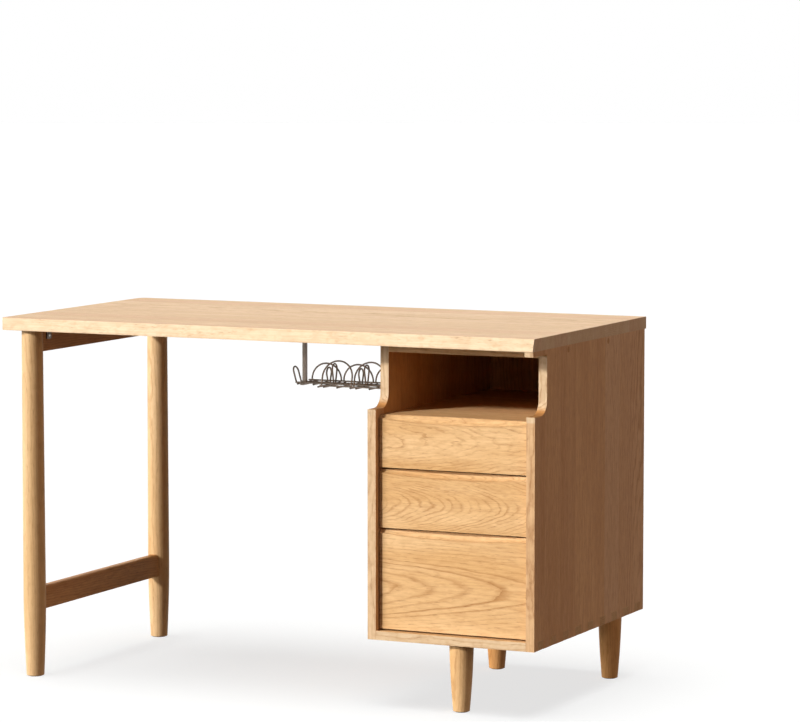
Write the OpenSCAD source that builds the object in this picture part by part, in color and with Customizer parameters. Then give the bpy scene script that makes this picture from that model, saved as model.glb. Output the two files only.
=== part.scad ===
// Writing desk in solid oak: a top with a leg frame at its left end and a pedestal of
// three drawers under an open shelf at its right end. A wire cable tray hangs under the top.
// Millimetres. The origin is on the floor under the middle of the top.
// +X is the sitter's right, +Y is the back of the desk and +Z is up. Grain follows each board's length.

/* [Desk] */
// Overall width
desk_w = 1200; // [1160:10:1300]
// Overall depth
desk_d = 600; // [580:5:640]
// Height of the writing surface
desk_h = 750; // [720:5:780]

/* [Desktop] */
// Thickness of the top
top_t = 25; // [23:1:30]
// How far the top's front edge slopes back from its lower to its upper corner
top_slope = 8; // [4:1:10]
// Corner radius of the top at its free left end, seen from above
top_corner_r = 18; // [10:1:30]

/* [Pedestal] */
// Outside width across both side panels
ped_w = 360; // [350:2:380]
// Thickness of the side panels, boards and shelf
board_t = 18; // [17:1:20]
// Gap between the floor and the underside of the pedestal
ped_clear = 137; // [125:1:150]
// Setback of the side panels from the desk's front
ped_front = 12; // [10:1:16]
// Setback of the side panels from the desk's back
ped_back = 8; // [5:1:12]
// Height of the foot of the recess in front of the open shelf
recess_z = 597; // [592:1:602]
// Depth of that recess, front to back
recess_d = 60; // [50:1:70]
// Radius of the hollow corner at the foot of the recess
recess_r = 30; // [20:1:35]
// Height of the shelf's upper face
shelf_z = 586; // [580:1:588]
// Number of dovetail pins along each end of the bottom board
pin_count = 9; // [7:1:10]
// Thickness of the back panel
back_t = 9; // [6:1:10]

/* [Drawers] */
// Height of the top drawer's front
top_front_h = 104.5; // [100:0.5:110]
// Height of the middle drawer's front
middle_front_h = 117; // [110:1:125]
// Gap above and below each drawer front. The bottom front takes the height that is left.
row_gap = 3.5; // [2.5:0.5:4]
// Thickness of a drawer front
front_t = 19; // [18:1:22]
// Setback of the drawer fronts from the panels' front edges
front_setback = 13; // [10:1:16]
// Gap at each end of a drawer front
side_gap = 2; // [1.5:0.5:2.5]
// Height of the scooped finger pull, on the face of the front
scoop_h = 15; // [10:1:16]
// Depth of the scooped finger pull, on the top edge of the front
scoop_d = 14; // [8:1:15]
// Length of a drawer box behind its front
box_l = 480; // [420:5:490]
// Thickness of the drawer sides and backs
side_t = 12; // [11:1:13]

/* [Legs] */
// Diameter of a desk leg at the top
leg_top_d = 44; // [40:1:47]
// Largest diameter of a desk leg, where its foot starts to taper
leg_wide_d = 47; // [44:1:50]
// Diameter of a desk leg at the floor
leg_foot_d = 37; // [32:1:40]
// Distance of the desk legs' axes from the left end of the top
leg_inset_x = 59; // [45:1:70]
// Distance of the desk legs' axes from the front and the back of the top
leg_inset_y = 34; // [32:1:50]
// Diameter of a pedestal leg at the top
stub_top_d = 49; // [44:1:52]
// Diameter of a pedestal leg at the floor
stub_foot_d = 33; // [28:1:36]

/* [Cable tray] */
// Diameter of the tray's wires
wire_d = 3.5; // [3:0.5:4]
// Height of the tray's floor wires above the floor
tray_z = 612; // [605:1:620]
// Depth of the tray, front rail to back rail
tray_d = 100; // [90:2:110]
// Height of the front arches above the floor wires
arch_h = 53; // [48:1:56]

/* [Hidden] */

$fn = 64;
eps = 1; // how far a cutter runs past the face that it opens

// Desktop
under_z = desk_h - top_t;
left_x = -desk_w / 2;
right_x = desk_w / 2;
front_y = -desk_d / 2;
back_y = desk_d / 2;
top_lip = 4; // height of the upright strip at the foot of the sloping front edge

// Pedestal
ped_x0 = right_x - ped_w;
in_x0 = ped_x0 + board_t;
in_x1 = right_x - board_t;
in_w = in_x1 - in_x0;
ped_mid_x = (ped_x0 + right_x) / 2;
ped_y0 = front_y + ped_front;
ped_y1 = back_y - ped_back;
ped_d = ped_y1 - ped_y0;
floor_z = ped_clear + board_t;
recess_y = ped_y0 + recess_d;
top_board_z = under_z - board_t;
ear_t = 10;           // thickness of the right panel's ear under the top
ear_y = front_y + 2;  // front of that ear
ear_r = 8;
groove_d = 6;         // how far the back panel sits in each side panel
back_panel_y1 = ped_y1 - 10;
back_panel_y0 = back_panel_y1 - back_t;
pin_pitch = ped_d / pin_count;
pin_wide = 31;        // width of a dovetail pin at the inside of the board
pin_narrow = 26;

// Drawers. Index 0 is the top drawer.
front_y0 = ped_y0 + front_setback;
front_y1 = front_y0 + front_t;
front_w = in_w - 2 * side_gap;
top_z0 = shelf_z - top_front_h;
middle_z0 = top_z0 - row_gap - middle_front_h;
bottom_z0 = floor_z + row_gap;
front_z = [top_z0, middle_z0, bottom_z0];
front_heights = [top_front_h, middle_front_h, middle_z0 - row_gap - bottom_z0];
scoop_half = front_w / 2 + 15;    // the finger pull runs out at both ends of the front
box_side_gap = 3;                 // gap between a drawer side and the side panel
box_x0 = in_x0 + box_side_gap;
box_x1 = in_x1 - box_side_gap;
box_y1 = front_y1 + box_l;
box_drop = 22;                    // how far the drawer sides stop below the top of the front
box_lift = 8;                     // how far they start above the bottom of the front
lap = 12;                         // length of the half-blind dovetails in the front
tail_flare = 2;                   // how much a dovetail widens on each side
ply_t = 6;                        // drawer bottom
ply_lift = 9;                     // height of the drawer bottom above the sides' lower edges
ply_seat = 5;                     // depth of the grooves that hold the drawer bottom
tail_counts = [2, 2, 4];

// Runners
runner_h = 14;
slot_h = runner_h + 1;
slot_deep = 7;
runner_reach = 6.5;               // how far a runner enters the drawer side's groove
runner_t = box_side_gap + runner_reach;
slot_y0 = front_y1 + 30;          // closed front end of the groove in a drawer side
runner_y0 = slot_y0 + 1;
runner_y1 = back_panel_y0 - 12;
runner_lift = [30, 34, 70];       // underside of the runner above the foot of the drawer side

// Legs
leg_x = left_x + leg_inset_x;
leg_ys = [front_y + leg_inset_y, back_y - leg_inset_y];
taper_z = 170;                    // height at which a desk leg is widest
glide_h = 1.5;
glide_inset = 3;                  // the glide's rim inside the leg's foot
rail_t = 22;                      // thickness of the apron and the stretcher
apron_h = 47;
stretcher_z = 138;
stretcher_h = 48;
stretcher_r = 7;
tenon_t = 9;
tenon_l = 14;
stub_mid_x = ped_mid_x + 8;
stub_front_y = ped_y0 + 38;
stub_rear_y = ped_y1 - 75;
stub_spread = 128;                // half the distance between the two rear pedestal legs
stub_points = [
  [stub_mid_x, stub_front_y],
  [stub_mid_x - stub_spread, stub_rear_y],
  [stub_mid_x + stub_spread, stub_rear_y],
];
stub_bulge = 1.2;                 // how far a pedestal leg swells past a straight taper
bolt_d = 8;
bolt_in_leg = 32;
bolt_in_board = 14;
insert_d = 12;
insert_h = 15;

// Small fixings
bracket_t = 2.5;
bracket_w = 18;
bracket_leaf = 22;
bracket_ys = [leg_ys[0] + 46, leg_ys[1] - 46];
screw_d = 3.5;
screw_head_d = 7;
screw_l = 14;
plug_d = 12;
plug_h = 7;
plug_ys = [-120, 90];
panel_screw_l = 44;
dowel_d = 8;
dowel_l = 28;
dowel_in_panel = 11;
dowel_ys = [-200, 0, 200];
fixing_points = [
  [in_x0 + 40, -170], [in_x1 - 40, -170],
  [in_x0 + 40, 190], [in_x1 - 40, 190],
];
fixing_grip = 14;                 // how far the top's fixing screws enter the top

// Cable tray
wire_r = wire_d / 2;
tray_y = 8;                       // middle of the tray, front to back
tray_y0 = tray_y - tray_d / 2;
tray_y1 = tray_y + tray_d / 2;
tray_x0 = -63;
tray_x1 = 232;
arch_pitch = 74;
arch_r = 34;
arch_count = 3;
front_arch_x = tray_x1 - arch_r - (arch_count - 1) * arch_pitch;
front_rail_x0 = front_arch_x - arch_r - 4;
rear_arch_x = tray_x0 + arch_r + 8;
rear_arch_h = arch_r + 2;
arch_lean = 16;                   // how far the front arches lean in over the tray, in degrees
loop_r = 11;
loop_foot = 3.5;                  // half the gap between the feet of an inner loop
loop_heights = [33, 41];          // the two inner loops of each bay
loop_xs = [9, 22];
cross_inset = 5;
mid_cross = 30.5;                 // from the second loop of a bay to the cross wire after it
cross_xs = concat(
  [tray_x0 + cross_inset, tray_x1 - cross_inset],
  [for (k = [0 : arch_count - 1], x = loop_xs) x + k * arch_pitch],
  [for (k = [-1 : arch_count - 2]) loop_xs[1] + mid_cross + k * arch_pitch]
);
end_leans = [16, 8];              // outward lean of the loops at the tray's left and right ends, in degrees
hanger_xs = [-47, 203];
hanger_w = 8;
foot_t = 3.5;                     // thickness of a hanger's crosswise foot
weld = 0.4;                       // how far welded wires and feet sink into each other
bead = 0.1;                       // how far the joint between a loop's leg and its top stands proud
pad_l = 40;
pad_t = 3;
pad_screw_dy = 13;

// ---------- shared shapes ----------

// A 2D shape drawn in (Y, Z), as a slab from x0 to x1.
module across(x0, x1) {
  translate([x0, 0, 0]) rotate([90, 0, 90]) linear_extrude(x1 - x0) children();
}

// A box from one corner to the other.
module block(a, b) {
  translate(a) cube(b - a);
}

// A rod of diameter d along Z from z0 to z1.
module rod(x, y, z0, z1, d) {
  translate([x, y, z0]) cylinder(h = z1 - z0, d = d);
}

// A rod of diameter d along X from x0 to x1.
module rod_x(y, z, x0, x1, d) {
  translate([x0, y, z]) rotate([0, 90, 0]) cylinder(h = x1 - x0, d = d);
}

// A rod of diameter d along Y from y0 to y1.
module rod_y(x, z, y0, y1, d) {
  translate([x, y0, z]) rotate([-90, 0, 0]) cylinder(h = y1 - y0, d = d);
}

// A round-headed wood screw whose head sits on z = 0 and whose shank points down.
module wood_screw(shank_l = screw_l, shank_d = screw_d, head_d = screw_head_d) {
  head_h = head_d * 0.3;
  rotate_extrude() polygon([
    [0, -shank_l], [shank_d * 0.2, -shank_l + shank_d * 0.6], [shank_d / 2, -shank_l + shank_d * 1.4],
    [shank_d / 2, 0], [head_d / 2, 0], [head_d / 2, head_h * 0.4], [head_d * 0.36, head_h * 0.85],
    [head_d * 0.18, head_h], [head_d * 0.12, head_h * 0.5], [0, head_h * 0.5]
  ]);
}

// ---------- desktop ----------

module top_plan() {
  r = top_corner_r;
  translate([left_x + r, front_y]) square([desk_w - r, desk_d]);
  translate([left_x, front_y + r]) square([r, desk_d - 2 * r]);
  for (y = [front_y + r, back_y - r]) translate([left_x + r, y]) circle(r = r);
}

module top_profile() {
  polygon([
    [front_y, under_z], [front_y, under_z + top_lip], [front_y + top_slope, desk_h],
    [back_y, desk_h], [back_y, under_z]
  ]);
}

module desktop() {
  color("burlywood") difference() {
    intersection() {
      across(left_x, right_x) top_profile();
      translate([0, 0, under_z - eps]) linear_extrude(top_t + 2 * eps) top_plan();
    }
    for (y = leg_ys) rod(leg_x, y, under_z - eps, under_z + insert_h, insert_d);
    for (p = fixing_points) rod(p[0], p[1], under_z - eps, under_z + fixing_grip, 4);
    for (y = bracket_ys) rod(apron_face_x() + 14, y, under_z - eps, under_z + screw_l - bracket_t, screw_d);
    for (x = hanger_xs, s = [-1, 1])
      rod(x, tray_y + s * pad_screw_dy, under_z - eps, under_z + screw_l - pad_t, screw_d);
  }
}

// ---------- pedestal carcass ----------

// The outline of a side panel in (Y, Z), with its recess and hollow corner.
module panel_outline(with_ear) {
  difference() {
    translate([ped_y0, ped_clear]) square([ped_d, under_z - ped_clear]);
    translate([ped_y0 - eps, recess_z]) square([recess_d + eps, desk_h]);
  }
  // the hollow corner
  difference() {
    translate([recess_y - recess_r, recess_z]) square([recess_r, recess_r]);
    translate([recess_y - recess_r, recess_z + recess_r]) circle(r = recess_r);
  }
  if (with_ear) {
    translate([ear_y, under_z - ear_t]) square([recess_y - ear_y, ear_t]);
    difference() {
      translate([recess_y - ear_r, under_z - ear_t - ear_r]) square([ear_r, ear_r]);
      translate([recess_y - ear_r, under_z - ear_t - ear_r]) circle(r = ear_r);
    }
  }
}

// The dovetail pins of the bottom board, in (Y, Z).
module pins() {
  for (i = [0 : pin_count - 1])
    translate([ped_y0 + (i + 0.5) * pin_pitch, ped_clear])
      polygon([
        [-pin_narrow / 2, 0], [pin_narrow / 2, 0],
        [pin_wide / 2, board_t], [-pin_wide / 2, board_t]
      ]);
}

// A side panel between x0 and x1. inner_x is its face towards the drawers, and out its outward sign.
module side_panel(x0, x1, inner_x, out, with_ear) {
  groove_x = [min(inner_x, inner_x + out * groove_d), max(inner_x, inner_x + out * groove_d)];
  outer_x = out > 0 ? x1 : x0;
  color("peru") difference() {
    across(x0, x1) panel_outline(with_ear);
    across(x0 - eps, x1 + eps) pins();
    block([groove_x[0], back_panel_y0, floor_z], [groove_x[1], back_panel_y1, top_board_z]);
    for (y = plug_ys) {
      rod_x(y, top_board_z + board_t / 2, x0 - eps, x1 + eps, 4.5);
      rod_x(y, top_board_z + board_t / 2, min(outer_x, outer_x - out * plug_h),
            max(outer_x, outer_x - out * plug_h), plug_d);
    }
    for (y = dowel_ys)
      rod_x(y, shelf_z - board_t / 2, min(inner_x, inner_x + out * dowel_in_panel),
            max(inner_x, inner_x + out * dowel_in_panel), dowel_d);
    for (i = [0 : 2], y = runner_screw_ys())
      rod_x(y, runner_z(i) + runner_h / 2, min(inner_x, inner_x + out * 10),
            max(inner_x, inner_x + out * 10), screw_d);
  }
}

module right_side_panel() {
  side_panel(in_x1, right_x, in_x1, 1, true);
}

module left_side_panel() {
  side_panel(ped_x0, in_x0, in_x0, -1, false);
}

module pedestal_bottom_board() {
  color("burlywood") difference() {
    union() {
      block([in_x0, ped_y0, ped_clear], [in_x1, ped_y1, floor_z]);
      across(ped_x0, in_x0) pins();
      across(in_x1, right_x) pins();
    }
    for (p = stub_points) rod(p[0], p[1], ped_clear - eps, ped_clear + insert_h, insert_d);
  }
}

module pedestal_top_board() {
  mid_z = top_board_z + board_t / 2;
  color("burlywood") difference() {
    block([in_x0, recess_y, top_board_z], [in_x1, back_panel_y1, under_z]);
    for (y = plug_ys) {
      rod_x(y, mid_z, in_x0 - eps, in_x0 + panel_screw_l - board_t + plug_h, 3.5);
      rod_x(y, mid_z, in_x1 - panel_screw_l + board_t - plug_h, in_x1 + eps, 3.5);
    }
    for (p = fixing_points) rod(p[0], p[1], top_board_z - eps, under_z + eps, 4);
  }
}

module pedestal_shelf() {
  mid_z = shelf_z - board_t / 2;
  color("burlywood") difference() {
    block([in_x0, front_y1 + 2, shelf_z - board_t], [in_x1, back_panel_y0, shelf_z]);
    for (y = dowel_ys) {
      rod_x(y, mid_z, in_x0 - eps, in_x0 + dowel_l - dowel_in_panel, dowel_d);
      rod_x(y, mid_z, in_x1 - dowel_l + dowel_in_panel, in_x1 + eps, dowel_d);
    }
  }
}

module pedestal_back_panel() {
  color("tan") block([in_x0 - groove_d, back_panel_y0, floor_z],
                     [in_x1 + groove_d, back_panel_y1, top_board_z]);
}

module side_panel_plugs() {
  mid_z = top_board_z + board_t / 2;
  color("sienna") for (y = plug_ys) {
    rod_x(y, mid_z, ped_x0, ped_x0 + plug_h, plug_d);
    rod_x(y, mid_z, right_x - plug_h, right_x, plug_d);
  }
}

module side_panel_screws() {
  mid_z = top_board_z + board_t / 2;
  color("silver") for (y = plug_ys) {
    translate([ped_x0 + plug_h, y, mid_z]) panel_screw();
    translate([right_x - plug_h, y, mid_z]) mirror([1, 0, 0]) panel_screw();
  }
}

// A headless screw under a plug, pointing along +X: its shank fills the panel's bore.
module panel_screw() {
  rotate([0, 90, 0]) {
    cylinder(h = board_t - plug_h, d = 4.5);
    translate([0, 0, board_t - plug_h]) cylinder(h = panel_screw_l - board_t + plug_h - 2, d = 3.5);
  }
}

module shelf_dowels() {
  mid_z = shelf_z - board_t / 2;
  color("wheat") for (y = dowel_ys) {
    rod_x(y, mid_z, in_x0 - dowel_in_panel, in_x0 - dowel_in_panel + dowel_l, dowel_d);
    rod_x(y, mid_z, in_x1 + dowel_in_panel - dowel_l, in_x1 + dowel_in_panel, dowel_d);
  }
}

module top_fixing_screws() {
  color("silver") for (p = fixing_points) translate([p[0], p[1], top_board_z]) mirror([0, 0, 1])
    wood_screw(board_t + fixing_grip, 4, 8.5);
}

// ---------- leg frame ----------

// Radius of a desk leg at height z: straight above taper_z, a rounded taper below it.
function leg_r(z) =
  z > taper_z
  ? leg_wide_d / 2 - (leg_wide_d - leg_top_d) / 2 * (z - taper_z) / (under_z - taper_z)
  : leg_foot_d / 2 + (leg_wide_d - leg_foot_d) / 2 * sin(90 * z / taper_z);

module leg_solid() {
  foot = [for (z = [glide_h : (taper_z - glide_h) / 10 : taper_z]) [leg_r(z), z]];
  rotate_extrude() polygon(concat([[0, glide_h]], foot, [[leg_r(under_z), under_z], [0, under_z]]));
}

// The tenons of one rail, at both legs, between heights z0 and z1.
module tenons(z0, z1) {
  reach = leg_ys[1] - leg_ys[0] - 2 * (leg_top_d / 2 - tenon_l);
  block([leg_x - tenon_t / 2, -reach / 2, z0], [leg_x + tenon_t / 2, reach / 2, z1]);
}

module all_tenons() {
  tenons(under_z - apron_h + 8, under_z - 8);
  tenons(stretcher_z + 9, stretcher_z + stretcher_h - 9);
}

module desk_leg(y) {
  color("burlywood") difference() {
    translate([leg_x, y, 0]) leg_solid();
    all_tenons();
    rod(leg_x, y, under_z - bolt_in_leg, under_z + eps, bolt_d);
    rod(leg_x, y, glide_h - eps, glide_h + 12, 3);
  }
}

module front_left_leg() {
  desk_leg(leg_ys[0]);
}

module rear_left_leg() {
  desk_leg(leg_ys[1]);
}

// Face of the apron towards the pedestal.
function apron_face_x() = leg_x + rail_t / 2;

module leg_apron() {
  color("peru") difference() {
    union() {
      difference() {
        block([leg_x - rail_t / 2, leg_ys[0], under_z - apron_h], [leg_x + rail_t / 2, leg_ys[1], under_z]);
        for (y = leg_ys) translate([leg_x, y, 0]) leg_solid();
      }
      intersection() {
        tenons(under_z - apron_h + 8, under_z - 8);
        for (y = leg_ys) translate([leg_x, y, 0]) leg_solid();
      }
    }
    for (y = bracket_ys) rod_x(y, under_z - 14, apron_face_x() - screw_l + bracket_t, apron_face_x() + eps, screw_d);
  }
}

module leg_stretcher() {
  x0 = leg_x - rail_t / 2;
  x1 = leg_x + rail_t / 2;
  z1 = stretcher_z + stretcher_h;
  color("peru") {
    difference() {
      union() {
        block([x0, leg_ys[0], stretcher_z], [x1, leg_ys[1], z1 - stretcher_r]);
        block([x0 + stretcher_r, leg_ys[0], stretcher_z], [x1 - stretcher_r, leg_ys[1], z1]);
        for (x = [x0 + stretcher_r, x1 - stretcher_r])
          rod_y(x, z1 - stretcher_r, leg_ys[0], leg_ys[1], 2 * stretcher_r);
      }
      for (y = leg_ys) translate([leg_x, y, 0]) leg_solid();
    }
    intersection() {
      tenons(stretcher_z + 9, stretcher_z + stretcher_h - 9);
      for (y = leg_ys) translate([leg_x, y, 0]) leg_solid();
    }
  }
}

module apron_brackets() {
  x0 = apron_face_x();
  color("dimgray") for (y = bracket_ys) difference() {
    union() {
      block([x0, y - bracket_w / 2, under_z - bracket_leaf], [x0 + bracket_t, y + bracket_w / 2, under_z]);
      block([x0, y - bracket_w / 2, under_z - bracket_t], [x0 + bracket_leaf, y + bracket_w / 2, under_z]);
    }
    rod(x0 + 14, y, under_z - bracket_leaf, under_z + eps, screw_d);
    rod_x(y, under_z - 14, x0 - eps, x0 + bracket_leaf, screw_d);
  }
}

module apron_bracket_screws() {
  color("silver") for (y = bracket_ys) {
    translate([apron_face_x() + 14, y, under_z - bracket_t]) mirror([0, 0, 1]) wood_screw();
    translate([apron_face_x() + bracket_t, y, under_z - 14]) rotate([0, 90, 0]) wood_screw();
  }
}

// ---------- pedestal legs and feet ----------

function stub_r(z) =
  stub_foot_d / 2 + (stub_top_d - stub_foot_d) / 2 * z / ped_clear + stub_bulge * sin(180 * z / ped_clear);

module stub_leg(p) {
  side = [for (z = [glide_h : (ped_clear - glide_h) / 8 : ped_clear + 0.01]) [stub_r(z), min(z, ped_clear)]];
  color("burlywood") translate([p[0], p[1], 0]) difference() {
    rotate_extrude() polygon(concat([[0, glide_h]], side, [[0, ped_clear]]));
    rod(0, 0, ped_clear - bolt_in_leg, ped_clear + eps, bolt_d);
    rod(0, 0, glide_h - eps, glide_h + 12, 3);
  }
}

module pedestal_front_leg() {
  stub_leg(stub_points[0]);
}

module pedestal_rear_left_leg() {
  stub_leg(stub_points[1]);
}

module pedestal_rear_right_leg() {
  stub_leg(stub_points[2]);
}

module leg_hanger_bolts() {
  color("silver") {
    for (y = leg_ys) rod(leg_x, y, under_z - bolt_in_leg, under_z + bolt_in_board, bolt_d);
    for (p = stub_points) rod(p[0], p[1], ped_clear - bolt_in_leg, ped_clear + bolt_in_board, bolt_d);
  }
}

module threaded_insert() {
  difference() {
    cylinder(h = insert_h, d = insert_d);
    translate([0, 0, -eps]) cylinder(h = bolt_in_board + eps, d = bolt_d);
  }
}

module leg_threaded_inserts() {
  color("gold") {
    for (y = leg_ys) translate([leg_x, y, under_z]) threaded_insert();
    for (p = stub_points) translate([p[0], p[1], ped_clear]) threaded_insert();
  }
}

module glide(foot_r) {
  pad_r = foot_r - glide_inset;
  rotate_extrude() polygon([
    [0, 0], [pad_r - 0.8, 0], [pad_r - 0.2, 0.3], [pad_r, 0.9], [pad_r, glide_h],
    [1.5, glide_h], [1.5, glide_h + 10], [0, glide_h + 12]
  ]);
}

module foot_glides() {
  color("dimgray") {
    for (y = leg_ys) translate([leg_x, y, 0]) glide(leg_foot_d / 2);
    for (p = stub_points) translate([p[0], p[1], 0]) glide(stub_foot_d / 2);
  }
}

// ---------- drawers ----------

function side_z0(i) = front_z[i] + box_lift;
function side_z1(i) = front_z[i] + front_heights[i] - box_drop;
function runner_z(i) = side_z0(i) + runner_lift[i];
function runner_screw_ys() = [runner_y0 + 60, runner_y1 - 60];

// The dovetails at the front end of drawer i's sides, in (Y, Z). They widen towards the front.
module tails(i) {
  pitch = (side_z1(i) - side_z0(i)) / tail_counts[i];
  for (k = [0 : tail_counts[i] - 1]) {
    z = side_z0(i) + (k + 0.5) * pitch;
    w = pitch * 0.3;
    polygon([
      [front_y1 + eps, z - w], [front_y1, z - w], [front_y1 - lap, z - w - tail_flare],
      [front_y1 - lap, z + w + tail_flare], [front_y1, z + w], [front_y1 + eps, z + w]
    ]);
  }
}

// The fingers that the back of drawer i puts through its sides, in (Y, Z).
module back_fingers(i) {
  count = tail_counts[i] + 1;
  pitch = (side_z1(i) - side_z0(i)) / count;
  for (k = [0 : count - 1])
    translate([box_y1 - side_t, side_z0(i) + (k + 0.25) * pitch]) square([side_t, pitch / 2]);
}

// The bottom panel of drawer i, seated in grooves all round.
module ply(i) {
  z = side_z0(i) + ply_lift;
  block([box_x0 + side_t - ply_seat, front_y1 - ply_seat, z],
        [box_x1 - side_t + ply_seat, box_y1 - side_t + ply_seat, z + ply_t]);
}

// The finger pull: a hollow bevel along the top edge, half an ellipse long, shallower at its ends.
module scoop(i) {
  z = front_z[i] + front_heights[i];
  translate([ped_mid_x, front_y0, z])
    scale([1, scoop_d / scoop_half, scoop_h / scoop_half]) sphere(r = scoop_half, $fn = 96);
}

module drawer_front(i) {
  color("burlywood") difference() {
    block([in_x0 + side_gap, front_y0, front_z[i]],
          [in_x1 - side_gap, front_y1, front_z[i] + front_heights[i]]);
    scoop(i);
    across(box_x0, box_x0 + side_t) tails(i);
    across(box_x1 - side_t, box_x1) tails(i);
    ply(i);
  }
}

// A side of drawer i. x0 and x1 are its faces, outer is the x of its face towards the side panel.
module drawer_side(i, x0, x1, outer) {
  inward = outer == x0 ? 1 : -1;
  slot_x = [min(outer, outer + inward * slot_deep), max(outer, outer + inward * slot_deep)];
  color("wheat") difference() {
    union() {
      across(x0, x1) difference() {
        translate([front_y1, side_z0(i)]) square([box_l, side_z1(i) - side_z0(i)]);
        back_fingers(i);
      }
      across(x0, x1) tails(i);
    }
    ply(i);
    block([slot_x[0] - (inward > 0 ? eps : 0), slot_y0, runner_z(i) - 0.5],
          [slot_x[1] + (inward > 0 ? 0 : eps), box_y1 + eps, runner_z(i) - 0.5 + slot_h]);
  }
}

module drawer_left_side(i) {
  drawer_side(i, box_x0, box_x0 + side_t, box_x0);
}

module drawer_right_side(i) {
  drawer_side(i, box_x1 - side_t, box_x1, box_x1);
}

module drawer_back(i) {
  slot_z0 = runner_z(i) - 0.5;
  color("wheat") difference() {
    union() {
      block([box_x0 + side_t, box_y1 - side_t, side_z0(i)], [box_x1 - side_t, box_y1, side_z1(i)]);
      across(box_x0, box_x0 + side_t) back_fingers(i);
      across(box_x1 - side_t, box_x1) back_fingers(i);
    }
    ply(i);
    block([box_x0 - eps, box_y1 - side_t - eps, slot_z0], [box_x0 + slot_deep, box_y1 + eps, slot_z0 + slot_h]);
    block([box_x1 - slot_deep, box_y1 - side_t - eps, slot_z0], [box_x1 + eps, box_y1 + eps, slot_z0 + slot_h]);
  }
}

module drawer_bottom(i) {
  color("moccasin") ply(i);
}

module runner(i, x) {
  color("sienna") difference() {
    block([x, runner_y0, runner_z(i)], [x + runner_t, runner_y1, runner_z(i) + runner_h]);
    for (y = runner_screw_ys()) {
      rod_x(y, runner_z(i) + runner_h / 2, x - eps, x + runner_t + eps, screw_d);
      rod_x(y, runner_z(i) + runner_h / 2, x == in_x0 ? x + runner_t - 3 : x - eps,
            x == in_x0 ? x + runner_t + eps : x + 3, screw_head_d + 0.5);
    }
  }
}

module runner_left(i) {
  runner(i, in_x0);
}

module runner_right(i) {
  runner(i, in_x1 - runner_t);
}

module runner_screws() {
  color("silver") for (i = [0 : 2], y = runner_screw_ys()) {
    translate([in_x0 + runner_t - 3, y, runner_z(i) + runner_h / 2]) rotate([0, 90, 0]) wood_screw();
    translate([in_x1 - runner_t + 3, y, runner_z(i) + runner_h / 2]) rotate([0, -90, 0]) wood_screw();
  }
}

// ---------- cable tray ----------

// A loop of wire standing on the origin in the XZ plane: h tall, r its half-width at the top and foot
// its half-width at the ground. Its legs are tangents to the round top.
module loop(r, h, foot) {
  rise = h - r;
  reach = sqrt(foot * foot + rise * rise);
  leg_l = sqrt(reach * reach - r * r);
  tilt = asin(r / reach) - atan(foot / rise);
  translate([0, 0, rise]) rotate([90, 0, 0]) rotate([0, 0, -tilt])
    rotate_extrude(angle = 180 + 2 * tilt) translate([r, 0]) circle(r = wire_r, $fn = 24);
  for (s = [-1, 1]) translate([s * foot, 0, 0]) rotate([0, s * tilt, 0]) {
    cylinder(h = leg_l, r = wire_r);
    translate([0, 0, leg_l]) sphere(r = wire_r + bead);
  }
}

module tray_rails() {
  color("dimgray") {
    rod_x(tray_y0, tray_z, front_rail_x0, tray_x1, wire_d);
    for (y = [tray_y - loop_r, tray_y + loop_r, tray_y1]) rod_x(y, tray_z, tray_x0, tray_x1, wire_d);
  }
}

// The wires across the floor. Left of the front rail they reach forward only to the first inner rail.
module tray_cross_wires() {
  z = tray_z - wire_d + weld;
  color("dimgray") for (x = cross_xs)
    rod_y(x, z, (x < front_rail_x0 - wire_d ? tray_y - loop_r : tray_y0) - wire_r, tray_y1 + wire_r, wire_d);
}

module tray_front_arches() {
  color("dimgray") for (k = [0 : arch_count - 1])
    translate([front_arch_x + k * arch_pitch, tray_y0, tray_z]) rotate([-arch_lean, 0, 0])
      loop(arch_r, arch_h, arch_r);
}

module tray_rear_arches() {
  color("dimgray") for (k = [0 : arch_count - 1])
    translate([rear_arch_x + k * arch_pitch, tray_y1, tray_z]) loop(arch_r, rear_arch_h, arch_r);
}

// Pear-shaped loops that stand on the cross wires.
module tray_inner_loops() {
  color("dimgray") for (k = [0 : arch_count - 1], j = [0, 1])
    translate([loop_xs[j] + k * arch_pitch, tray_y, tray_z - wire_r]) rotate([0, 0, 90])
      loop(loop_r, loop_heights[j] + wire_r, loop_foot);
}

module tray_end_loops() {
  color("dimgray") {
    translate([tray_x0 + wire_r, tray_y, tray_z]) rotate([0, -end_leans[0], 0]) rotate([0, 0, 90])
      loop(loop_r, loop_heights[0], loop_r);
    translate([tray_x1 - wire_r, tray_y, tray_z]) rotate([0, end_leans[1], 0]) rotate([0, 0, 90])
      loop(loop_r, loop_heights[0], loop_r);
  }
}

// A square hanger bar under the top at x, with a screw pad and a foot under the tray from y = foot_y0 back.
module hanger(x, foot_y0) {
  color("gray") difference() {
    union() {
      block([x - hanger_w / 2, tray_y - hanger_w / 2, tray_z - wire_r - foot_t],
            [x + hanger_w / 2, tray_y + hanger_w / 2, under_z - pad_t]);
      block([x - hanger_w / 2, foot_y0, tray_z - wire_r - foot_t],
            [x + hanger_w / 2, tray_y1 + wire_d, tray_z - wire_r + weld]);
      block([x - hanger_w / 2 - 4, tray_y - pad_l / 2, under_z - pad_t],
            [x + hanger_w / 2 + 4, tray_y + pad_l / 2, under_z]);
    }
    for (s = [-1, 1]) rod(x, tray_y + s * pad_screw_dy, under_z - pad_t - eps, under_z + eps, screw_d);
  }
}

module tray_left_hanger() {
  hanger(hanger_xs[0], tray_y - loop_r - wire_d);
}

module tray_right_hanger() {
  hanger(hanger_xs[1], tray_y0 - wire_d);
}

module tray_hanger_screws() {
  color("silver") for (x = hanger_xs, s = [-1, 1])
    translate([x, tray_y + s * pad_screw_dy, under_z - pad_t]) mirror([0, 0, 1]) wood_screw();
}

// ---------- assembly ----------

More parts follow.
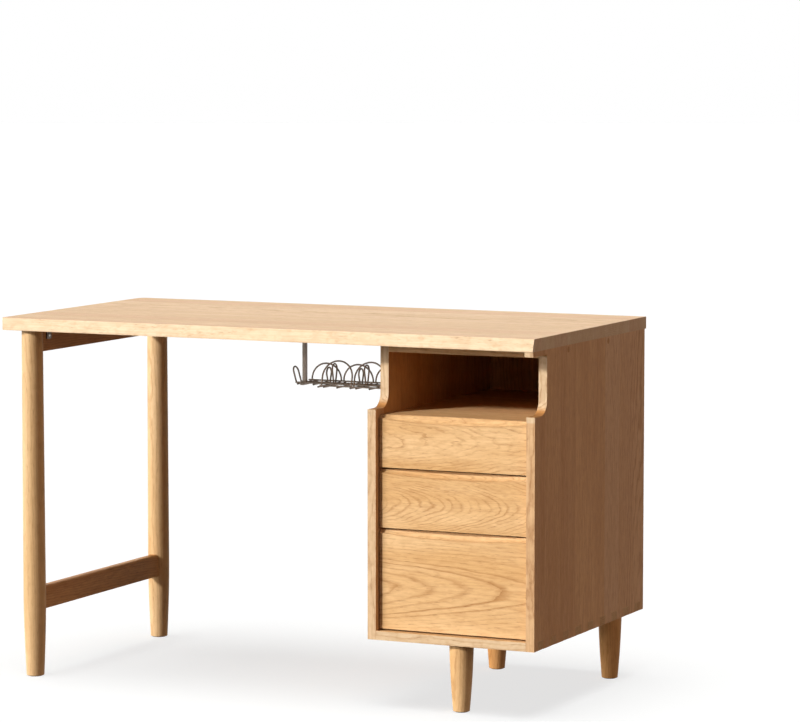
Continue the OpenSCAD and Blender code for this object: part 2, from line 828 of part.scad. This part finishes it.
desktop();
right_side_panel();
left_side_panel();
pedestal_bottom_board();
pedestal_top_board();
pedestal_shelf();
pedestal_back_panel();
side_panel_plugs();
side_panel_screws();
shelf_dowels();
top_fixing_screws();
front_left_leg();
rear_left_leg();
leg_apron();
leg_stretcher();
apron_brackets();
apron_bracket_screws();
pedestal_front_leg();
pedestal_rear_left_leg();
pedestal_rear_right_leg();
leg_hanger_bolts();
leg_threaded_inserts();
foot_glides();
drawer_front(0);  // top_drawer_front
drawer_left_side(0);  // top_drawer_left_side
drawer_right_side(0);  // top_drawer_right_side
drawer_back(0);  // top_drawer_back
drawer_bottom(0);  // top_drawer_bottom
drawer_front(1);  // middle_drawer_front
drawer_left_side(1);  // middle_drawer_left_side
drawer_right_side(1);  // middle_drawer_right_side
drawer_back(1);  // middle_drawer_back
drawer_bottom(1);  // middle_drawer_bottom
drawer_front(2);  // bottom_drawer_front
drawer_left_side(2);  // bottom_drawer_left_side
drawer_right_side(2);  // bottom_drawer_right_side
drawer_back(2);  // bottom_drawer_back
drawer_bottom(2);  // bottom_drawer_bottom
runner_left(0);  // top_left_runner
runner_right(0);  // top_right_runner
runner_left(1);  // middle_left_runner
runner_right(1);  // middle_right_runner
runner_left(2);  // bottom_left_runner
runner_right(2);  // bottom_right_runner
runner_screws();
tray_rails();
tray_cross_wires();
tray_front_arches();
tray_rear_arches();
tray_inner_loops();
tray_end_loops();
tray_left_hanger();
tray_right_hanger();
tray_hanger_screws();
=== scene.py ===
"""Writing desk in natural oak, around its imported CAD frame. Metres, +Z up, front towards -Y."""

import math

import bmesh
import bpy
from mathutils import Euler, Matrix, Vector


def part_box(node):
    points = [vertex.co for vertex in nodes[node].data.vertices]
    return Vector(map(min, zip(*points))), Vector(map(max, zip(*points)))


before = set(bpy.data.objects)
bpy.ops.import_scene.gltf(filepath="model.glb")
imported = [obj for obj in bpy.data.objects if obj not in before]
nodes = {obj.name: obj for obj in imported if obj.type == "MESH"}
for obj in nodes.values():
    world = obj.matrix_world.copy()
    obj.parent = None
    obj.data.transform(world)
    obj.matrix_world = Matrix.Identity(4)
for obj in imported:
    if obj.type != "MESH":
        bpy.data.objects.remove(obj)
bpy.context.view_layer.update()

MM = 0.001
DRAWERS = ("top", "middle", "bottom")


# ---------- camera, floor and light ----------

FRAME_WIDTH_PX = 800      # the picture is 800 by 722
FOCAL_PX = 3619.0
SENSOR_MM = 36.0
CAMERA_PLACE = (3.3284, -6.6998, 1.3682)
CAMERA_YAW = 25.2         # degrees, turned from +Y towards -X
CAMERA_PITCH = 5.42       # degrees, downwards


def make_camera():
    data = bpy.data.cameras.new("camera")
    data.sensor_width = SENSOR_MM
    data.lens = FOCAL_PX * SENSOR_MM / FRAME_WIDTH_PX
    camera = bpy.data.objects.new("camera", data)
    camera.location = CAMERA_PLACE
    camera.rotation_euler = Euler((math.radians(90 - CAMERA_PITCH), 0, math.radians(CAMERA_YAW)))
    bpy.context.scene.collection.objects.link(camera)
    bpy.context.scene.camera = camera


FLOOR_REACH = 60          # metres
DOME_RADIUS = 40
FLOOR_COLOUR = (0.29, 0.30, 0.30)
FLOOR_GLOW = 0.74         # most of the floor's brightness, so that the shadows on it stay pale
BLACK = (0, 0, 0)
WHITE = (1, 1, 1, 1)


def stage_piece(name, mesh, colour, glow, reflects):
    """A plain pale surface that isn't part of the object. It shows, but lights nothing."""
    piece = bpy.data.objects.new(name, mesh)
    bpy.context.scene.collection.objects.link(piece)
    mat = bpy.data.materials.new(name)
    mat.use_nodes = True
    shader = mat.node_tree.nodes["Principled BSDF"]
    shader.inputs["Base Color"].default_value = (*colour, 1)
    shader.inputs["Roughness"].default_value = 0.9
    shader.inputs["Specular IOR Level"].default_value = 0.0
    shader.inputs["Emission Color"].default_value = WHITE
    shader.inputs["Emission Strength"].default_value = glow
    mesh.materials.append(mat)
    piece.visible_diffuse = False
    piece.visible_glossy = reflects
    return piece


def make_stage():
    r = FLOOR_REACH
    plane = bpy.data.meshes.new("floor")
    plane.from_pydata([(-r, -r, 0), (r, -r, 0), (r, r, 0), (-r, r, 0)], [], [(0, 1, 2, 3)])
    floor = stage_piece("floor", plane, FLOOR_COLOUR, FLOOR_GLOW, reflects=False)
    ball = bmesh.new()
    bmesh.ops.create_uvsphere(ball, u_segments=48, v_segments=24, radius=DOME_RADIUS)
    dome_mesh = bpy.data.meshes.new("backdrop")
    ball.to_mesh(dome_mesh)
    ball.free()
    dome = stage_piece("backdrop", dome_mesh, BLACK, 1.0, reflects=True)
    dome.visible_shadow = False
    return floor


# Distant lamps: name, azimuth, elevation, strength, spread, colour, and what it does with the floor.
# Azimuth is measured from the front, towards the desk's left; all three angles are in degrees.
LIGHTS = (
    ("key", 34, 26, 3.6, 7, (1.0, 0.96, 0.90), "EXCLUDE"),
    ("front_fill", 52, 8, 2.1, 20, (1.0, 0.95, 0.89), "EXCLUDE"),
    ("side_fill", -80, 10, 0.80, 40, (1.0, 0.73, 0.55), "EXCLUDE"),
    ("rear_fill", 158, 15, 1.3, 30, (1.0, 0.93, 0.84), "EXCLUDE"),
    ("overhead", 0, 88, 0.90, 30, (1.0, 0.99, 0.97), None),
    ("floor_light", 20, 80, 2.1, 50, (1, 1, 1), "INCLUDE"),
)
ROOM_COLOUR = (1.0, 0.80, 0.66, 1)
ROOM_STRENGTH = 0.07


def make_light(name, azimuth, elevation, strength, spread, colour):
    data = bpy.data.lights.new(name, "SUN")
    data.energy = strength
    data.angle = math.radians(spread)
    data.color = colour
    light = bpy.data.objects.new(name, data)
    turn, lift = math.radians(azimuth), math.radians(elevation)
    towards = Vector((-math.sin(turn) * math.cos(lift), -math.cos(turn) * math.cos(lift), math.sin(lift)))
    light.location = towards * 6
    light.rotation_euler = towards.to_track_quat("Z", "Y").to_euler()
    bpy.context.scene.collection.objects.link(light)
    return light


def link_light(light, obj, state):
    """Limits a light to an object, or keeps it off that object."""
    group = bpy.data.collections.new(f"{light.name}_links")
    group.objects.link(obj)
    light.light_linking.receiver_collection = group
    group.collection_objects[0].light_linking.link_state = state


def make_lights(floor):
    for *lamp, on_floor in LIGHTS:
        light = make_light(*lamp)
        if on_floor:
            link_light(light, floor, on_floor)
    world = bpy.data.worlds.new("studio")
    bpy.context.scene.world = world
    world.use_nodes = True
    background = world.node_tree.nodes["Background"]
    background.inputs["Color"].default_value = ROOM_COLOUR
    background.inputs["Strength"].default_value = ROOM_STRENGTH
    bpy.context.scene.view_settings.view_transform = "Standard"


# ---------- material helper ----------

class Shader:
    """A material's node tree, written as short calls. Sockets pass from call to call."""

    def __init__(self, name):
        self.mat = bpy.data.materials.new(name)
        self.mat.use_nodes = True
        self.tree = self.mat.node_tree
        self.bsdf = self.tree.nodes["Principled BSDF"]

    def put(self, target, value):
        if isinstance(value, bpy.types.NodeSocket):
            self.tree.links.new(value, target)
        else:
            target.default_value = value

    def math(self, operation, a, b=0.0):
        node = self.tree.nodes.new("ShaderNodeMath")
        node.operation = operation
        for socket, value in zip(node.inputs, (a, b)):
            self.put(socket, value)
        return node.outputs[0]

    def add(self, a, b):
        return self.math("ADD", a, b)

    def times(self, a, b):
        return self.math("MULTIPLY", a, b)

    def split_coords(self, output):
        """The X, Y and Z of the object's own coordinates ("Object") or of its faces' normals ("Normal")."""
        node = self.tree.nodes.new("ShaderNodeTexCoord")
        split = self.tree.nodes.new("ShaderNodeSeparateXYZ")
        self.tree.links.new(node.outputs[output], split.inputs[0])
        return dict(zip("XYZ", split.outputs))

    def vector(self, x, y, z):
        node = self.tree.nodes.new("ShaderNodeCombineXYZ")
        for socket, value in zip(node.inputs, (x, y, z)):
            self.put(socket, value)
        return node.outputs[0]

    def stretched(self, place, scales, shift=0.0):
        """A place with each of its three coordinates scaled, and the last one shifted."""
        x, y, z = (self.times(coordinate, scale) for coordinate, scale in zip(place, scales))
        return self.vector(x, y, self.add(z, shift))

    def noise(self, vector, scale=1.0, detail=2.0, rough=0.5):
        node = self.tree.nodes.new("ShaderNodeTexNoise")
        self.put(node.inputs["Vector"], vector)
        node.inputs["Scale"].default_value = scale
        node.inputs["Detail"].default_value = detail
        node.inputs["Roughness"].default_value = rough
        return node.outputs["Fac"]

    def random(self, vector):
        node = self.tree.nodes.new("ShaderNodeTexWhiteNoise")
        node.noise_dimensions = "3D"
        self.put(node.inputs["Vector"], vector)
        return node.outputs["Value"]

    def ramp(self, value, low, high, out_low=0.0, out_high=1.0, smooth=True):
        node = self.tree.nodes.new("ShaderNodeMapRange")
        node.interpolation_type = "SMOOTHSTEP" if smooth else "LINEAR"
        for socket, v in zip(node.inputs, (value, low, high, out_low, out_high)):
            self.put(socket, v)
        return node.outputs[0]

    def mix(self, factor, a, b, blend="MIX"):
        node = self.tree.nodes.new("ShaderNodeMix")
        node.data_type = "RGBA"
        node.blend_type = blend
        self.put(node.inputs["Factor"], factor)
        self.put(node.inputs["A"], a)
        self.put(node.inputs["B"], b)
        return node.outputs["Result"]

    def bump(self, height, distance, strength=1.0):
        node = self.tree.nodes.new("ShaderNodeBump")
        node.inputs["Strength"].default_value = strength
        node.inputs["Distance"].default_value = distance
        self.put(node.inputs["Height"], height)
        self.tree.links.new(node.outputs["Normal"], self.bsdf.inputs["Normal"])


def rgb(r, g, b):
    """A colour given as the eye sees it on screen, 0 to 255, as linear light."""
    def linear(c):
        c /= 255
        return c / 12.92 if c <= 0.04045 else ((c + 0.055) / 1.055) ** 2.4
    return (linear(r), linear(g), linear(b), 1.0)


# ---------- oak ----------

OAK_LIGHT = (rgb(223, 188, 142), rgb(208, 167, 116), rgb(158, 110, 62))
OAK_WARM = (rgb(206, 156, 102), rgb(188, 136, 82), rgb(138, 88, 44))
OAK_PORE = rgb(112, 72, 38)
OAK_ROSE = rgb(208, 165, 122)
OAK_END = rgb(128, 84, 48)
OAK_TOP = (rgb(225, 194, 153), rgb(211, 176, 130), rgb(164, 120, 74))
# Pale sapwood colour. The code also uses it for painted highlights on lit front edges and faces.
SAPWOOD_AND_HIGHLIGHT = rgb(213, 190, 158)


def oak(name, grain="X", across="Y", pith=(0.0, 0.0), slope=(0.0, 0.0), ring=0.0042, wander=0.006,
        stave=0.0, tone=OAK_LIGHT, contrast=1.0, seed=0.0, gloss=0.42, shine=0.06, bold=1.0, patchy=0.0,
        fade=None, sapwood_highlight_below=None, painted_front_highlight=None):
    """Sawn oak. The growth rings are cylinders about a pith line that runs along the grain at a small slope. A
    face that the line grazes shows pointed arches, and a face far from it shows straight lines.

    pith        the line's place on the two axes across the grain (across first), where the grain's axis is 0
    ring        width of a year; wander is how far the rings stray
    stave       width of the glued staves, or 0 for one plank
    tone        pale, middle and dark wood; contrast is the strength of the fine grain
    gloss       roughness; shine is the specular level
    bold        strength of the rings; patchy is how much they come and go over the face
    fade        distance from the pith beyond which the rings weaken
    sapwood_highlight_below  place on the across axis, with a paler strip below it: partly sapwood, partly a painted
    highlight on the lit edge
    painted_front_highlight  (height, below, above): how much painted highlight, in the sapwood colour, the faces to
    the front show below and above a height
    """
    s = Shader(name)
    axes = s.split_coords("Object")
    normals = s.split_coords("Normal")
    third = ({"X", "Y", "Z"} - {grain, across}).pop()
    u, v, w = axes[grain], axes[across], axes[third]

    # each stave is cut from another place in the tree: along the grain, across it and through it
    wood = (u, v, w)
    if stave:
        index = s.math("FLOOR", s.math("DIVIDE", s.add(v, 10.0 + seed * 0.013), stave))
        lot = s.random(s.vector(index, seed, 1.7))
        lot2 = s.random(s.vector(index, seed, 5.3))
        wood = (s.add(u, s.times(lot, 3.0)),
                s.add(v, s.times(s.add(lot2, -0.5), 0.09)),
                s.add(w, s.times(s.add(lot, -0.5), 0.12)))

    # the rings wander slowly along the board, and wobble finely
    slow = s.noise(s.stretched(wood, (2.2, 9.0, 9.0), seed), detail=2.0)
    quick = s.noise(s.stretched(wood, (22.0, 55.0, 55.0), seed + 3.1), detail=3.0)
    bend = s.add(s.times(s.add(slow, -0.5), wander * 4), s.times(s.add(quick, -0.5), wander * 0.9))
    dv, dw = (s.add(s.add(place, -centre), s.times(u, lean)) for place, centre, lean in zip(wood[1:], pith, slope))
    radius = s.math("SQRT", s.add(s.times(dv, dv), s.times(dw, dw)))
    phase = s.times(s.add(radius, bend), 1.0 / ring)
    wave = s.math("FRACT", phase)
    year = s.random(s.vector(s.math("FLOOR", phase), seed, 2.0))

    # each year: an open, porous early band that fades into denser late wood
    early = s.ramp(wave, 0.0, 0.34, 1.0, 0.0)
    late = s.ramp(wave, 0.80, 1.0, 0.0, 1.0)
    depth = s.add(s.times(year, 0.8), 0.2)
    line = s.times(s.math("MAXIMUM", early, late), depth)
    if patchy:
        patch = s.noise(s.stretched(wood, (17.0, 30.0, 30.0), seed + 6.0))
        line = s.times(line, s.ramp(patch, 0.36, 0.60, 1.0 - patchy, 1.0))
    if fade is not None:
        line = s.times(line, s.ramp(radius, fade, fade + 0.006, 1.0, 0.30))

    # fine grain: long fibres, short pores, slow clouds of tone, mottling, dashes and pale flecks
    fibre = s.noise(s.stretched(wood, (9.0, 300.0, 300.0)), detail=3.0, rough=0.6)
    pore_noise = s.noise(s.stretched(wood, (70.0, 900.0, 900.0)), detail=1.0)
    pore = s.times(s.ramp(pore_noise, 0.58, 0.68), s.add(s.times(early, 0.8), 0.2))
    cloud = s.noise(s.stretched(wood, (1.6, 11.0, 11.0), seed + 9.0))
    mottle = s.noise(s.stretched(wood, (34.0, 130.0, 60.0), seed + 5.0))
    dash = s.noise(s.stretched(wood, (60.0, 260.0, 60.0), seed + 4.0))
    fleck = s.ramp(s.noise(s.stretched(wood, (26.0, 120.0, 14.0), seed), detail=1.0), 0.66, 0.74)

    pale, mid, dark = tone
    colour = s.mix(s.ramp(cloud, 0.34, 0.66), pale, mid)
    if stave:
        colour = s.mix(s.ramp(lot, 0.0, 1.0, 0.0, 0.65, smooth=False), colour, mid)
        colour = s.mix(s.ramp(lot2, 0.45, 1.0, 0.0, 0.7), colour, OAK_ROSE)
    # A paler strip with weaker rings along the front edge: partly sapwood, partly a painted highlight where the edge
    # catches the light.
    if sapwood_highlight_below is not None:
        low, high = sapwood_highlight_below - 0.001, sapwood_highlight_below + 0.001
        colour = s.mix(s.ramp(v, low, high, 0.92, 0.0), colour, SAPWOOD_AND_HIGHLIGHT)
        line = s.times(line, s.ramp(v, low, high, 0.25, 1.0))
    # Painted highlight: faces to the front, found by their normals, are mixed towards the pale sapwood colour by an
    # amount set below and above a height.
    if painted_front_highlight is not None:
        height, below, above = painted_front_highlight
        facing_front = s.ramp(normals["Y"], -0.95, -0.6, 1.0, 0.0)
        amount = s.ramp(axes["Z"], height - 0.002, height + 0.002, below, above)
        colour = s.mix(s.times(facing_front, amount), colour, SAPWOOD_AND_HIGHLIGHT)
    colour = s.mix(s.times(line, 0.42 * bold), colour, dark)
    for noise, low, high, strength in ((fibre, 0.38, 0.72, 0.20), (dash, 0.50, 0.74, 0.22),
                                       (mottle, 0.40, 0.66, 0.16)):
        colour = s.mix(s.ramp(noise, low, high, 0.0, strength * contrast), colour, dark)
    colour = s.mix(s.times(pore, 0.42 * contrast), colour, OAK_PORE)
    colour = s.mix(s.times(fleck, 0.12), colour, pale)

    # end grain drinks more oil, so it is darker, with open pores
    end = s.ramp(s.math("ABSOLUTE", normals[grain]), 0.75, 0.95)
    speck = s.noise(s.stretched((u, v, w), (30.0, 700.0, 700.0)))
    end_colour = s.mix(s.ramp(speck, 0.4, 0.66, 0.0, 0.7), OAK_END, OAK_PORE)
    s.put(s.bsdf.inputs["Base Color"], s.mix(s.times(end, 0.36), colour, end_colour))

    rough = s.add(s.times(line, 0.10), s.add(s.times(fibre, 0.12), gloss))
    s.put(s.bsdf.inputs["Roughness"], s.add(rough, s.times(end, 0.15)))
    s.bsdf.inputs["Specular IOR Level"].default_value = shine
    relief = s.math("SUBTRACT", s.times(fibre, 0.35), s.add(s.times(pore, 0.9), s.times(line, 0.25)))
    s.bump(relief, 0.00030, 0.5)
    return s.mat


def shade(colour, factor):
    return tuple(c * factor for c in colour[:3]) + (1,)


def metal(name, colour, rough, metallic=1.0):
    """Steel or painted steel with fine uneven gloss."""
    s = Shader(name)
    place = s.vector(*s.split_coords("Object").values())
    worn = s.noise(place, 60.0, 3.0)
    fine = s.noise(place, 900.0, 2.0)
    s.put(s.bsdf.inputs["Base Color"], s.mix(s.ramp(worn, 0.35, 0.7), colour, shade(colour, 0.72)))
    s.put(s.bsdf.inputs["Roughness"], s.ramp(worn, 0.2, 0.8, rough - 0.07, rough + 0.10))
    s.bsdf.inputs["Metallic"].default_value = metallic
    s.bump(fine, 0.00008, 0.5)
    return s.mat


def plastic(name, colour):
    s = Shader(name)
    grain = s.noise(s.vector(*s.split_coords("Object").values()), 1400.0, 2.0)
    s.put(s.bsdf.inputs["Base Color"], s.mix(grain, colour, shade(colour, 1.5)))
    s.put(s.bsdf.inputs["Roughness"], s.ramp(grain, 0.2, 0.8, 0.55, 0.75))
    s.bump(grain, 0.0001, 0.6)
    return s.mat


# ---------- finish of the CAD nodes ----------

def finish_node(name, material, edge=0.8, angle=32):
    """Gives a CAD node its material, and eases its edges sharper than angle degrees by edge millimetres."""
    node = nodes[name]
    node.data.materials.clear()
    node.data.materials.append(material)
    weld = node.modifiers.new("weld", "WELD")
    weld.merge_threshold = 0.00001
    if edge:
        flat = node.modifiers.new("flat", "DECIMATE")
        flat.decimate_type = "DISSOLVE"
        flat.angle_limit = math.radians(0.3)
        bevel = node.modifiers.new("ease", "BEVEL")
        bevel.width = edge * MM
        bevel.segments = 3
        bevel.limit_method = "ANGLE"
        bevel.angle_limit = math.radians(angle)
    node.modifiers.new("normals", "WEIGHTED_NORMAL")


def middle(name):
    low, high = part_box(name)
    return (low + high) / 2


def dress_top_and_carcass():
    front_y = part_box("desktop")[0].y
    # The top's 9 mm front strip is paler: partly sapwood, partly painted highlight on the lit edge.
    finish_node("desktop", oak("oak_top", "X", "Y", pith=(0.1, 0.55), slope=(0.0, 0.02), stave=0.066, seed=2.0,
                               gloss=0.46, shine=0.3, contrast=1.1, tone=OAK_TOP,
                               sapwood_highlight_below=front_y + 0.009), edge=1.5)
    shelf_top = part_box("pedestal_shelf")[1].z
    # The side panels' front faces get a painted highlight: the recess edges above the shelf nearly fully, lower down
    # less, and more on the left panel than on the right.
    for i, (name, below) in enumerate((("right_side_panel", 0.5), ("left_side_panel", 0.75))):
        finish_node(name, oak(f"oak_panel_{i}", "Z", "Y", pith=(0.31, 0.44), slope=(0.0, 0.03), stave=0.078,
                              seed=11.0 + 7 * i, tone=OAK_WARM, painted_front_highlight=(shelf_top, below, 0.95)), edge=1.2)
    # The boards' front faces get the same painted highlight, strongest on the bottom board below 0.2 m.
    for i, name in enumerate(("pedestal_bottom_board", "pedestal_top_board", "pedestal_shelf")):
        finish_node(name, oak(f"oak_board_{i}", "X", "Y", pith=(0.1, 0.3 + 0.3 * i), slope=(0.0, 0.02), stave=0.09,
                              seed=21.0 + 5 * i, painted_front_highlight=(0.2, 0.9, 0.2)), edge=0.8)
    finish_node("pedestal_back_panel", oak("oak_back", "Z", "X", pith=(0.4, 0.5), slope=(0.0, 0.04), stave=0.11,
                                           seed=91.0, tone=OAK_WARM), edge=0.4)


def dress_drawers():
    face_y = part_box("bottom_drawer_front")[0].y
    # The pith runs near each front's face, so each shows arches: wide ones on the bottom front, small and close
    # ones on the middle one, and broken ones on the top one.
    grains = {
        "top": dict(pith=(0.53, face_y + 0.075), slope=(-0.02, -0.05), ring=0.0030, wander=0.007, seed=31.0,
                    contrast=1.1, bold=1.2, patchy=0.7),
        "middle": dict(pith=(0.40, face_y + 0.022), slope=(-0.03, -0.13), ring=0.0027, wander=0.005, seed=43.0,
                       contrast=1.1, bold=1.6, patchy=0.75),
        "bottom": dict(pith=(0.229, face_y + 0.048), slope=(-0.04, -0.065), ring=0.0052, wander=0.0028, seed=52.0,
                       contrast=1.0, bold=2.0, fade=0.087, patchy=0.3),
    }
    box_tone = (rgb(226, 198, 154), rgb(214, 182, 136), rgb(186, 148, 100))
    box_oak = oak("drawer_box", "Y", "Z", pith=(0.3, 0.9), ring=0.003, seed=61.0, contrast=0.5, gloss=0.55,
                  tone=box_tone)
    back_oak = oak("drawer_back", "X", "Z", pith=(0.3, 0.9), ring=0.003, seed=66.0, contrast=0.5, gloss=0.55,
                   tone=box_tone)
    ply = oak("drawer_bottom", "X", "Y", pith=(0.0, 0.35), slope=(0.0, 0.05), ring=0.006, seed=71.0, contrast=0.6,
              gloss=0.5, tone=(rgb(232, 206, 164), rgb(220, 190, 144), rgb(196, 158, 110)))
    runner_oak = oak("runner", "Y", "Z", pith=(0.1, 0.2), ring=0.003, seed=81.0, contrast=0.7, tone=OAK_WARM)
    for d in DRAWERS:
        finish_node(f"{d}_drawer_front", oak(f"oak_front_{d}", "X", "Z", **grains[d]), edge=1.8, angle=40)
        for part, mat in (("left_side", box_oak), ("right_side", box_oak), ("back", back_oak), ("bottom", ply)):
            finish_node(f"{d}_drawer_{part}", mat, edge=0.5)
        for side in ("left", "right"):
            finish_node(f"{d}_{side}_runner", runner_oak, edge=0.5)
    finish_node("shelf_dowels", box_oak, edge=0.4)


def dress_legs_and_rails():
    legs = ("front_left_leg", "rear_left_leg", "pedestal_front_leg", "pedestal_rear_left_leg",
            "pedestal_rear_right_leg")
    # Painted light and shade: each leg's oak tone follows how lit it stands. The front legs are paler, and the two
    # rear pedestal legs take the darker warm tone as shade.
    leg_lit_and_shaded_tones = (OAK_TOP, OAK_TOP, OAK_LIGHT, OAK_WARM, OAK_WARM)
    for i, name in enumerate(legs):
        centre = middle(name)
        finish_node(name, oak(f"oak_leg_{i}", "Z", "X", pith=(centre.x + 0.03, centre.y + 0.05), slope=(0.01, 0.015),
                              seed=101.0 + 7 * i, contrast=0.8, tone=leg_lit_and_shaded_tones[i]),
                    edge=0.8, angle=50)
    for i, name in enumerate(("leg_apron", "leg_stretcher")):
        centre = middle(name)
        finish_node(name, oak(f"oak_rail_{i}", "Y", "Z", pith=(centre.z - 0.07, centre.x - 0.05), slope=(0.02, 0.01),
                              seed=141.0 + 9 * i, tone=OAK_WARM), edge=0.8)
    plug_height = middle("side_panel_plugs").z
    finish_node("side_panel_plugs", oak("oak_plug", "X", "Y", pith=(0.02, plug_height), ring=0.002, seed=151.0,
                                        tone=OAK_WARM), edge=0.4)


def dress_metal_and_plastic():
    tray = metal("tray_steel", rgb(150, 138, 126), 0.40, metallic=0.3)
    for name in ("tray_rails", "tray_cross_wires", "tray_front_arches", "tray_rear_arches", "tray_inner_loops",
                 "tray_end_loops"):
        finish_node(name, tray, edge=0)
    for name in ("tray_left_hanger", "tray_right_hanger"):
        finish_node(name, tray, edge=0.5)
    finish_node("apron_brackets", metal("bracket_steel", rgb(104, 92, 82), 0.45), edge=0.3)
    screw = metal("screw_steel", rgb(188, 186, 180), 0.30)
    for name in ("side_panel_screws", "top_fixing_screws", "apron_bracket_screws", "leg_hanger_bolts",
                 "runner_screws", "tray_hanger_screws"):
        finish_node(name, screw, edge=0)
    finish_node("leg_threaded_inserts", metal("insert_brass", rgb(205, 170, 95), 0.32), edge=0)
    finish_node("foot_glides", plastic("glide_plastic", rgb(52, 48, 45)), edge=0)


make_camera()
make_lights(make_stage())
dress_top_and_carcass()
dress_drawers()
dress_legs_and_rails()
dress_metal_and_plastic()
